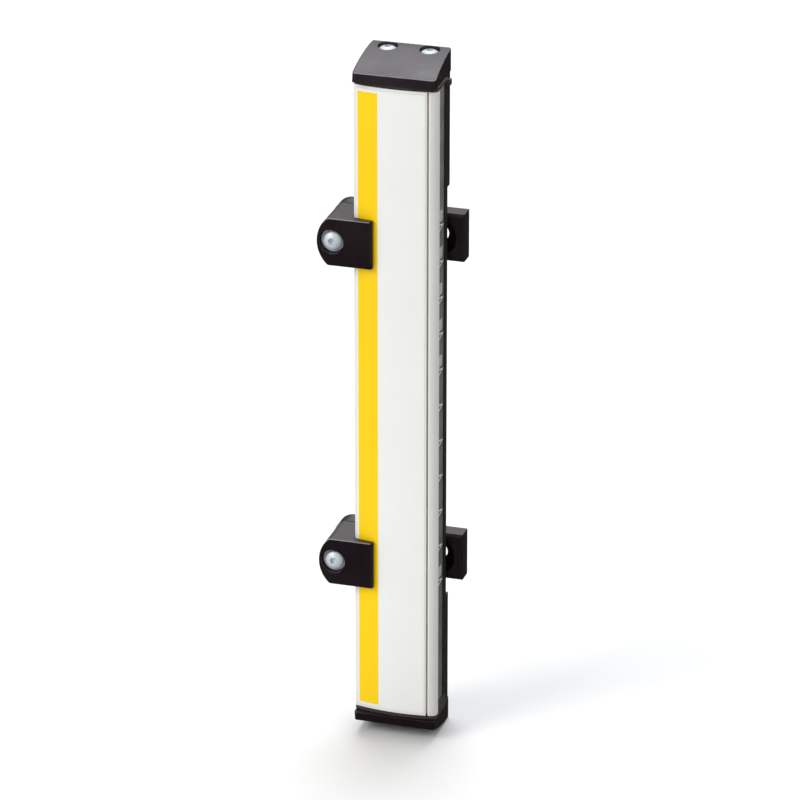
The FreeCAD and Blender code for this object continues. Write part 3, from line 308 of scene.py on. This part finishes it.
def zinc_material(name="bright_zinc", light=1.0):
    """Bright zinc plating: small crystal patches, a faint blue cast, scuffed edges and driver marks."""
    net = Net(name, metallic=0.30)

    # light above 1 paints a lighter copy of the plating, as painted light
    def shade(*colour):
        return tuple(min(1.0, c * light) for c in colour)

    edge_normal, edge = net.soft_edges(0.08)
    patches = net.cells(1.1, colour=True)
    split = net.new("ShaderNodeSeparateColor")
    net.tree.links.new(patches, split.inputs[0])
    tone = split.outputs[0]
    haze = net.noise(0.8, 4.0, 0.65)
    body = net.mix(net.span(tone, 0.0, 1.0), shade(0.50, 0.55, 0.59), shade(0.57, 0.62, 0.66))
    body = net.mix(net.span(haze, 0.50, 0.75, 0.0, 0.35), body, shade(0.46, 0.47, 0.46))
    body = net.mix(net.math("MULTIPLY", edge, 0.5), body, shade(0.70, 0.73, 0.76))
    net.link("Base Color", body)
    rough = net.math("ADD", net.span(tone, 0.0, 1.0, 0.42, 0.52), net.span(haze, 0.35, 0.7, 0.0, 0.10))
    net.link("Roughness", net.math("SUBTRACT", rough, net.math("MULTIPLY", edge, 0.06)))
    scratch = net.noise(5.0, 4.0, 0.7, stretch=(1.0, 0.15, 1.0))
    net.link("Normal", net.bump(net.math("ADD", net.math("MULTIPLY", scratch, 0.5), net.math("MULTIPLY", haze, 0.6)), 0.012, edge_normal))
    return net.mat


def board_material():
    """Green solder mask over copper tracks."""
    net = Net("green_board", specular_ior_level=0.5)
    brick = net.new("ShaderNodeTexBrick", offset=0.5, squash=1.0)
    net.tree.links.new(net.mm(), brick.inputs["Vector"])
    for key, number in (("Scale", 0.35), ("Mortar Size", 0.05), ("Mortar Smooth", 0.3), ("Brick Width", 1.1), ("Row Height", 0.45)):
        brick.inputs[key].default_value = number
    tracks = brick.outputs["Fac"]
    fleck = net.noise(2.5, 3.0, 0.6)
    body = net.mix(tracks, (0.010, 0.080, 0.030), (0.025, 0.150, 0.060))
    body = net.mix(net.span(fleck, 0.5, 0.8, 0.0, 0.4), body, (0.008, 0.060, 0.022))
    net.link("Base Color", body)
    net.link("Roughness", net.span(fleck, 0.3, 0.7, 0.28, 0.42))
    net.link("Normal", net.bump(tracks, 0.03))
    return net.mat


def plain_metal(name, colour, dull, rough, along="Z"):
    """Drawn or rolled metal: fine lines one way and a slow change of shade."""
    net = Net(name, metallic=1.0)
    stretch = {"X": (0.03, 1.0, 1.0), "Y": (1.0, 0.03, 1.0), "Z": (1.0, 1.0, 0.03)}[along]
    lines = net.noise(3.0, 4.0, 0.65, stretch=stretch)
    shade = net.noise(0.4, 3.0, 0.5)
    net.link("Base Color", net.mix(net.span(shade, 0.35, 0.7), colour, dull))
    net.link("Roughness", net.math("ADD", net.span(shade, 0.3, 0.7, rough - 0.04, rough + 0.06), net.span(lines, 0.3, 0.7, -0.04, 0.04)))
    net.link("Normal", net.bump(lines, 0.01))
    return net.mat


def clear_plastic(name, colour, rough, transmission):
    net = Net(name, transmission_weight=transmission, ior=1.49)
    cloud = net.noise(0.3, 3.0, 0.5)
    flow = net.noise(1.2, 2.0, 0.5, stretch=(1.0, 1.0, 0.2))
    net.link("Base Color", net.mix(net.span(cloud, 0.35, 0.7), colour, tuple(c * 0.9 for c in colour)))
    net.link("Roughness", net.span(flow, 0.3, 0.7, rough, rough + 0.06))
    net.link("Normal", net.bump(flow, 0.008))
    return net.mat


BEAM_FIRST, BEAM_PITCH = 12.4, 14.2
BAND_LEFT, BAND_RIGHT, BAND_LOW, BAND_HIGH = -14.2, -6.3, 3.8, 248.2

finish = {
    "housing_coat": coated("housing_pale_coat", (0.760, 0.762, 0.738), (0.720, 0.724, 0.702), 0.40),
    # the rim's pale band at X 13.15 to 13.6 mm is a painted highlight
    "rim_coat": coated("rim_grey_coat", (0.610, 0.618, 0.600), (0.580, 0.588, 0.566), 0.34, streak=0.45, painted_highlight_line=(13.15, 13.60, (0.820, 0.765, 0.675))),
    "black_profile": coated("black_anodised", (0.0190, 0.0160, 0.0140), (0.0250, 0.0215, 0.0190), 0.45, peel_mm=0.6, streak=0.5, specular=0.3),
    "cap_plastic": moulded("cap_glass_filled_plastic", (0.046, 0.036, 0.031), (0.060, 0.048, 0.042), 0.48, 0.55, 0.016, specular=0.45),
    # painted highlight: edge_lift 4.0 and painted_edge_highlight paint the brackets' edges and upward rims pale as
    # light catching them
    "bracket_nylon": moulded("bracket_black_nylon", (0.0085, 0.0030, 0.0058), (0.0130, 0.0062, 0.0096), 0.35, 0.60, 0.013, specular=0.50, edge_mm=0.18, edge_lift=4.0, painted_edge_highlight=(0.240, 0.236, 0.262)),
    "label_film": film_material(),
    "window_acrylic": window_material(),
    "rubber_black": rubber_material(),
    "zinc": zinc_material(),
    "board_green": board_material(),
    "chip_black": moulded("chip_epoxy", (0.012, 0.012, 0.013), (0.020, 0.020, 0.022), 0.45, 0.30, 0.008, edge_mm=0.05),
    "clip_nylon": moulded("clip_natural_nylon", (0.55, 0.53, 0.46), (0.62, 0.60, 0.53), 0.42, 0.50, 0.010, edge_mm=0.08, edge_lift=1.1),
    "optic_black": moulded("optic_black_plastic", (0.011, 0.011, 0.011), (0.017, 0.017, 0.017), 0.55, 0.50, 0.012, edge_mm=0.08),
    "emitter_epoxy": clear_plastic("emitter_blue_epoxy", (0.10, 0.14, 0.30), 0.08, 0.3),
    "clear_acrylic": clear_plastic("clear_acrylic_lens", (0.86, 0.88, 0.88), 0.05, 0.85),
    "led_white": clear_plastic("led_white_resin", (0.80, 0.80, 0.74), 0.20, 0.1),
    "can_aluminium": plain_metal("capacitor_can", (0.74, 0.75, 0.76), (0.66, 0.67, 0.68), 0.26, "X"),
    "contact_gold": plain_metal("contact_gold_plate", (0.92, 0.68, 0.30), (0.84, 0.60, 0.25), 0.22, "Y"),
}
wanted = {s["slot"] for s in record["materials"]}
missing = sorted(wanted - set(finish))
if missing:
    raise RuntimeError(f"no finish for {missing}")

for name, piece in nodes.items():
    for held in piece.material_slots:
        if held.material is not None:
            slot_name = held.material.name.split(".")[0]
            if slot_name in finish:
                held.material = finish[slot_name]

# painted light: the jaws' screws and washers get lighter copies of the zinc, standing in for light that reaches them
# in their counterbores
for name, light in (("jaw_clamp_screws", 1.28), ("jaw_clamp_washers", 1.40)):
    for held in nodes[name].material_slots:
        held.material = zinc_material("bright_zinc_" + name, light)


# ---------------------------------------------------------------- beam marks on the window
def flat_marks(name, outlines, face_x, lift_mm, material):
    """Thin printed shapes on the window's outer face; each outline is a list of (Y, Z) in millimetres."""
    verts, faces = [], []
    for outline in outlines:
        first, count = len(verts), len(outline)
        for x in (face_x - 0.01, face_x + lift_mm):
            verts += [(x * MM, y * MM, z * MM) for y, z in outline]
        faces.append([first + count + k for k in range(count)])
        faces.append([first + k for k in reversed(range(count))])
        faces += [[first + k, first + (k + 1) % count, first + count + (k + 1) % count, first + count + k] for k in range(count)]
    mesh = bpy.data.meshes.new(name)
    mesh.from_pydata(verts, [], faces)
    mesh.validate()
    mesh.update()
    piece = bpy.data.objects.new(name, mesh)
    bpy.context.scene.collection.objects.link(piece)
    mesh.materials.append(material)
    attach(piece, "root")
    return piece


def mark_ink():
    net = Net("window_mark_ink", specular_ior_level=0.4)
    speck = net.noise(6.0, 3.0, 0.6)
    net.link("Base Color", net.mix(net.span(speck, 0.35, 0.75), (0.60, 0.595, 0.56), (0.48, 0.475, 0.45)))
    net.link("Roughness", net.span(speck, 0.3, 0.7, 0.42, 0.56))
    net.link("Normal", net.bump(speck, 0.006))
    return net.mat


def chevron(y, z, wide, tall, stroke):
    """An arrow mark whose tip points to the back of the stick."""
    half = tall / 2
    return [
        (y - wide / 2, z + half),
        (y - wide / 2, z + half - stroke),
        (y - wide / 2 + (half - stroke) * wide / half, z),
        (y - wide / 2, z - half + stroke),
        (y - wide / 2, z - half),
        (y + wide / 2, z),
    ]


def dash(y, z, wide, tall):
    return [
        (y - wide / 2, z - tall / 2),
        (y + wide / 2, z - tall / 2),
        (y + wide / 2, z + tall / 2),
        (y - wide / 2, z + tall / 2),
    ]


window_low, window_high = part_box("window")
face_x = window_high[0] / MM
mark_y = -14.1
marks = [chevron(mark_y, BEAM_FIRST + BEAM_PITCH * i, 5.4, 2.9, 0.56) for i in range(3, 14)]
for i in (3, 9, 10, 11, 12, 13):
    beam = BEAM_FIRST + BEAM_PITCH * i
    marks += [dash(mark_y - 0.7, beam + rise, wide, 0.5) for rise, wide in ((2.3, 3.4), (3.2, 4.2), (4.1, 3.8), (5.0, 4.2), (5.9, 3.2))]
flat_marks("window_beam_marks", marks, face_x, 0.03, mark_ink())


# ---------------------------------------------------------------- floor
def floor():
    mesh = bpy.data.meshes.new("floor")
    level, reach = -8.62 * MM, 8.0
    mesh.from_pydata([(-reach, -reach, level), (reach, -reach, level), (reach, reach, level), (-reach, reach, level)], [], [(0, 1, 2, 3)])
    piece = bpy.data.objects.new("floor", mesh)
    bpy.context.scene.collection.objects.link(piece)
    net = Net("pale_floor", specular_ior_level=0.15)
    grain = net.noise(0.02, 3.0, 0.5)
    net.link("Base Color", net.mix(net.span(grain, 0.3, 0.7), (0.750, 0.750, 0.748), (0.738, 0.738, 0.736)))
    net.set("Roughness", 0.75)
    mesh.materials.append(net.mat)
    piece.visible_glossy = False


floor()


# ---------------------------------------------------------------- light
def sun(name, azimuth, elevation, energy, spread, colour=(1.0, 1.0, 1.0)):
    """A broad, distant softbox. Azimuth 0 shines from the viewer's side, elevation is above the floor."""
    light = bpy.data.lights.new(name, "SUN")
    light.energy, light.angle, light.color = energy, math.radians(spread), colour
    lamp = bpy.data.objects.new(name, light)
    bpy.context.scene.collection.objects.link(lamp)
    a, e = math.radians(azimuth), math.radians(elevation)
    towards = Vector((math.sin(a) * math.cos(e), -math.cos(a) * math.cos(e), math.sin(e)))
    lamp.rotation_mode = "QUATERNION"
    lamp.rotation_quaternion = towards.to_track_quat("Z", "Y")


sun("key_softbox", -44.0, 33.0, 1.80, 32.0, (1.0, 0.995, 0.985))
sun("overhead_softbox", 190.0, 47.0, 0.90, 46.0, (0.985, 0.99, 1.0))
sun("top_softbox", 192.0, 70.0, 1.40, 38.0, (0.95, 0.96, 1.0))
sun("side_fill", 72.0, 24.0, 0.50, 60.0, (1.0, 1.0, 0.985))


def studio(stops, tint):
    """A soft dome, bright overhead and dark below the horizon, as a studio with a small table is."""
    world = bpy.data.worlds.new("studio")
    bpy.context.scene.world = world
    world.use_nodes = True
    tree = world.node_tree
    tree.nodes.clear()
    out = tree.nodes.new("ShaderNodeOutputWorld")
    glow = tree.nodes.new("ShaderNodeBackground")
    ramp = tree.nodes.new("ShaderNodeValToRGB")
    rise = tree.nodes.new("ShaderNodeMapRange")
    split = tree.nodes.new("ShaderNodeSeparateXYZ")
    coords = tree.nodes.new("ShaderNodeTexCoord")
    tree.links.new(coords.outputs["Generated"], split.inputs[0])
    tree.links.new(split.outputs["Z"], rise.inputs["Value"])
    rise.inputs["From Min"].default_value = -1.0
    rise.inputs["From Max"].default_value = 1.0
    tree.links.new(rise.outputs["Result"], ramp.inputs["Fac"])
    tree.links.new(ramp.outputs["Color"], glow.inputs["Color"])
    tree.links.new(glow.outputs["Background"], out.inputs["Surface"])
    keys = ramp.color_ramp.elements
    while len(keys) < len(stops):
        keys.new(0.5)
    for key, (height, level) in zip(keys, stops):
        key.position = (height + 1) / 2
        key.color = (*(level * c for c in tint), 1.0)


studio([(-1.0, 0.04), (-0.03, 0.05), (0.06, 0.20), (0.35, 0.40), (0.80, 0.58), (1.0, 0.64)], (0.985, 0.99, 1.0))


# ---------------------------------------------------------------- camera
def camera(azimuth, elevation, lens, frame_mm, target):
    """A long lens at the photograph's angle; frame_mm is the picture's width at the target."""
    data = bpy.data.cameras.new("camera")
    data.lens, data.sensor_width = lens, 36.0
    distance = frame_mm * MM * lens / 36.0
    a, e = math.radians(azimuth), math.radians(elevation)
    back = Vector((math.sin(a) * math.cos(e), -math.cos(a) * math.cos(e), math.sin(e)))
    eye = bpy.data.objects.new("camera", data)
    bpy.context.scene.collection.objects.link(eye)
    eye.location = Vector(target) * MM + back * distance
    eye.rotation_mode = "QUATERNION"
    eye.rotation_quaternion = (-back).to_track_quat("-Z", "Y")
    data.clip_start, data.clip_end = 0.01, 100.0
    bpy.context.scene.camera = eye


camera(17.0, 23.0, 220.0, 296.0, (-1.2, -11.0, 125.0))

scene = bpy.context.scene
scene.view_settings.view_transform = "Standard"
scene.view_settings.look = "None"
scene.view_settings.exposure = 0.0
scene.view_settings.gamma = 1.0
